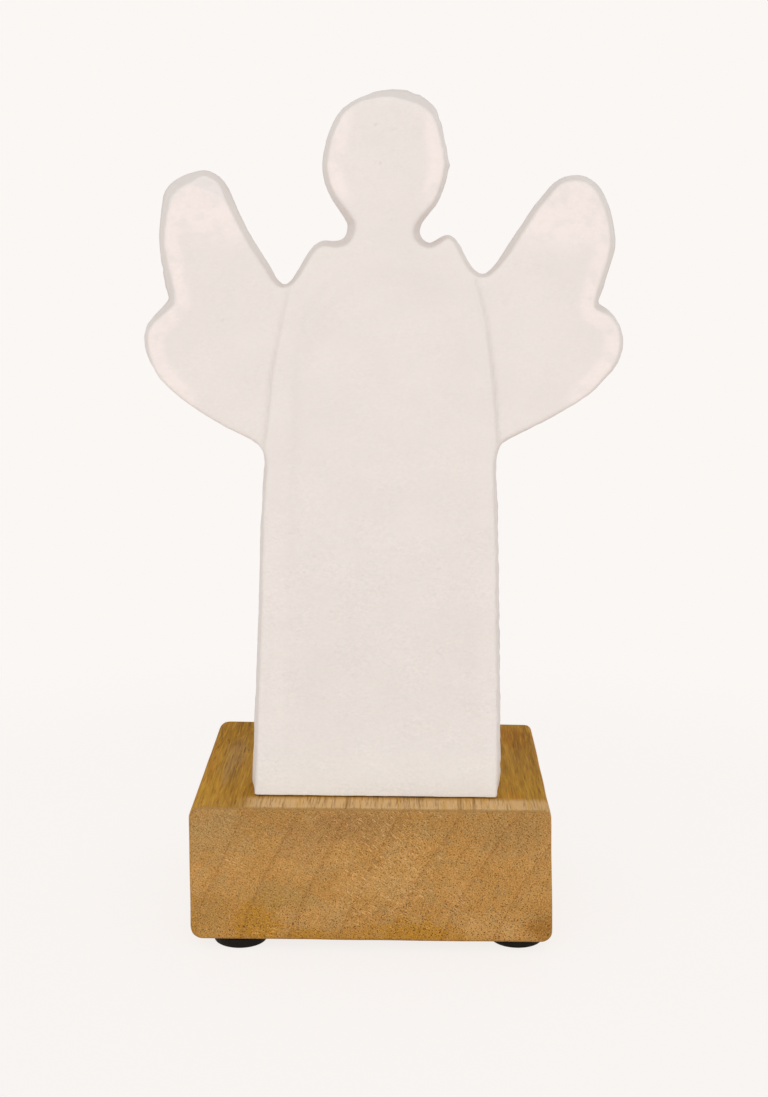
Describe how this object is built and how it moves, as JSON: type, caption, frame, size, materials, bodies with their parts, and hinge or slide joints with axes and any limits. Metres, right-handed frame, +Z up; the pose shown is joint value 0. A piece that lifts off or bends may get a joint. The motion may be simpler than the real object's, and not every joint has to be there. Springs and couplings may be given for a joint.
{
  "type": "winged tealight holder",
  "caption": "Freestanding tealight holder: a flat white winged figure fixed on a wooden block, with a round seat for a tealight behind it.",
  "frame": {"origin": "on the surface that the pads stand on, midway between the wing tips and midway along the block's depth", "axes": "+Z up from the foot of the block to the figure's crown; -Y is the front, which the figure's face and the block's end grain look towards; +X is to the right as seen from the front"},
  "size_m": [0.1306, 0.08, 0.2351],
  "materials": {
    "mango_wood": "satin",
    "white_coat": "matte",
    "screw_steel": "satin",
    "black_pad": "matte"
  },
  "bodies": {
    "root": {"wooden_block": "mango_wood", "angel_figure": "white_coat", "fixing_screw_left": "screw_steel", "fixing_screw_right": "screw_steel", "foot_pad_front_left": "black_pad", "foot_pad_front_right": "black_pad", "foot_pad_rear_left": "black_pad", "foot_pad_rear_right": "black_pad"}
  },
  "joints": []
}
